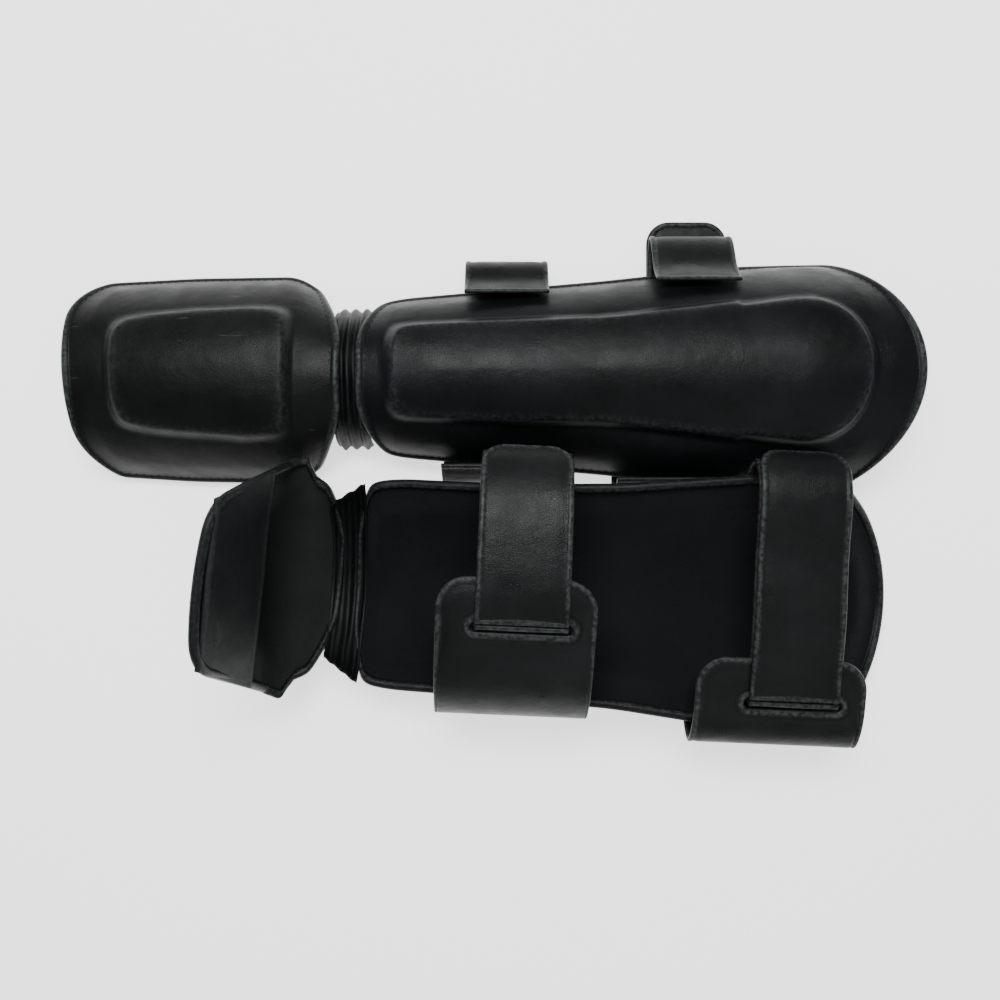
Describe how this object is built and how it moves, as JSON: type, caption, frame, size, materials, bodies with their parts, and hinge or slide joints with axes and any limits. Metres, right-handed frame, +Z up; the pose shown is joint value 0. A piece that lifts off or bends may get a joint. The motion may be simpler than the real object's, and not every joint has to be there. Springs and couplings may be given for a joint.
{
  "type": "pair of shin and instep guards",
  "caption": "Left and right padded leather shin guards with hinged instep flaps, slotted tabs and hook-and-loop straps, laid side by side.",
  "frame": {"origin": "centre of the pair's bounding box in plan, on the surface the guards lie on", "axes": "+X from the foot flaps to the knee ends, +Y from the right guard to the left guard, +Z up"},
  "size_m": [0.4962, 0.3148, 0.1292],
  "materials": {
    "leather": "semi-gloss black leather cover, fine grain",
    "panel": "semi-gloss black leather over a thin raised pad",
    "binding": "black leather edge binding over foam",
    "lining": "matt black woven lining",
    "foam": "closed-cell foam, unseen",
    "fold": "soft black leather, pleated",
    "strap": "semi-gloss black leather, piped and stitched edges",
    "tab": "semi-gloss black leather, piped and stitched edges",
    "hook_loop": "black hook-and-loop strip",
    "sole_band": "satin black leather band"
  },
  "bodies": {
    "left_shin": {"left_shin_cover": "leather", "left_shin_foam": "foam", "left_shin_lining": "lining", "left_shin_binding": "binding", "left_shin_raised_panel": "panel", "left_ankle_fold": "fold", "left_lower_strap": "strap", "left_lower_loop_strip": "hook_loop", "left_lower_slot_tab": "tab", "left_upper_strap": "strap", "left_upper_loop_strip": "hook_loop", "left_upper_slot_tab": "tab"},
    "left_foot": {"left_foot_cover": "leather", "left_foot_foam": "foam", "left_foot_lining": "lining", "left_foot_binding": "binding", "left_foot_raised_panel": "panel", "left_sole_band": "sole_band"},
    "left_lower_tail": {"left_lower_strap_tail": "strap", "left_lower_hook_strip": "hook_loop"},
    "left_upper_tail": {"left_upper_strap_tail": "strap", "left_upper_hook_strip": "hook_loop"},
    "right_shin": {"right_shin_cover": "leather", "right_shin_foam": "foam", "right_shin_lining": "lining", "right_shin_binding": "binding", "right_shin_raised_panel": "panel", "right_ankle_fold": "fold", "right_lower_strap": "strap", "right_lower_loop_strip": "hook_loop", "right_lower_slot_tab": "tab", "right_upper_strap": "strap", "right_upper_loop_strip": "hook_loop", "right_upper_slot_tab": "tab"},
    "right_foot": {"right_foot_cover": "leather", "right_foot_foam": "foam", "right_foot_lining": "lining", "right_foot_binding": "binding", "right_foot_raised_panel": "panel", "right_sole_band": "sole_band"},
    "right_lower_tail": {"right_lower_strap_tail": "strap", "right_lower_hook_strip": "hook_loop"},
    "right_upper_tail": {"right_upper_strap_tail": "strap", "right_upper_hook_strip": "hook_loop"}
  },
  "joints": [
    {"name": "pair_spread", "type": "slide", "parent": "left_shin", "child": "right_shin", "axis": [0, -1, 0], "range_m": [0, 0.3]},
    {"name": "left_ankle", "type": "hinge", "parent": "left_shin", "child": "left_foot", "pos_m": [-0.08, 0.0586, 0.044], "axis": [0, 1, 0], "range_deg": [0, 42], "deforming": ["left_ankle_fold"]},
    {"name": "right_ankle", "type": "hinge", "parent": "right_shin", "child": "right_foot", "pos_m": [-0.084, -0.0638, 0.012], "axis": [0.0785, 0.9969, 0], "range_deg": [0, 40], "deforming": ["right_ankle_fold"]},
    {"name": "left_lower_strap_open", "type": "hinge", "parent": "left_shin", "child": "left_lower_tail", "pos_m": [0.012, 0.02779, 0.00078], "axis": [-1, 0, 0], "range_deg": [0, 100]},
    {"name": "left_upper_strap_open", "type": "hinge", "parent": "left_shin", "child": "left_upper_tail", "pos_m": [0.124, 0.00951, 0.00081], "axis": [-1, 0, 0], "range_deg": [0, 100]},
    {"name": "right_lower_strap_open", "type": "hinge", "parent": "right_shin", "child": "right_lower_tail", "pos_m": [0.01931, -0.08183, 0.09484], "axis": [0.999, -0.0436, 0], "range_deg": [0, 130]},
    {"name": "right_upper_strap_open", "type": "hinge", "parent": "right_shin", "child": "right_upper_tail", "pos_m": [0.17047, -0.12743, 0.06889], "axis": [0.999, -0.0436, 0], "range_deg": [0, 130]}
  ]
}
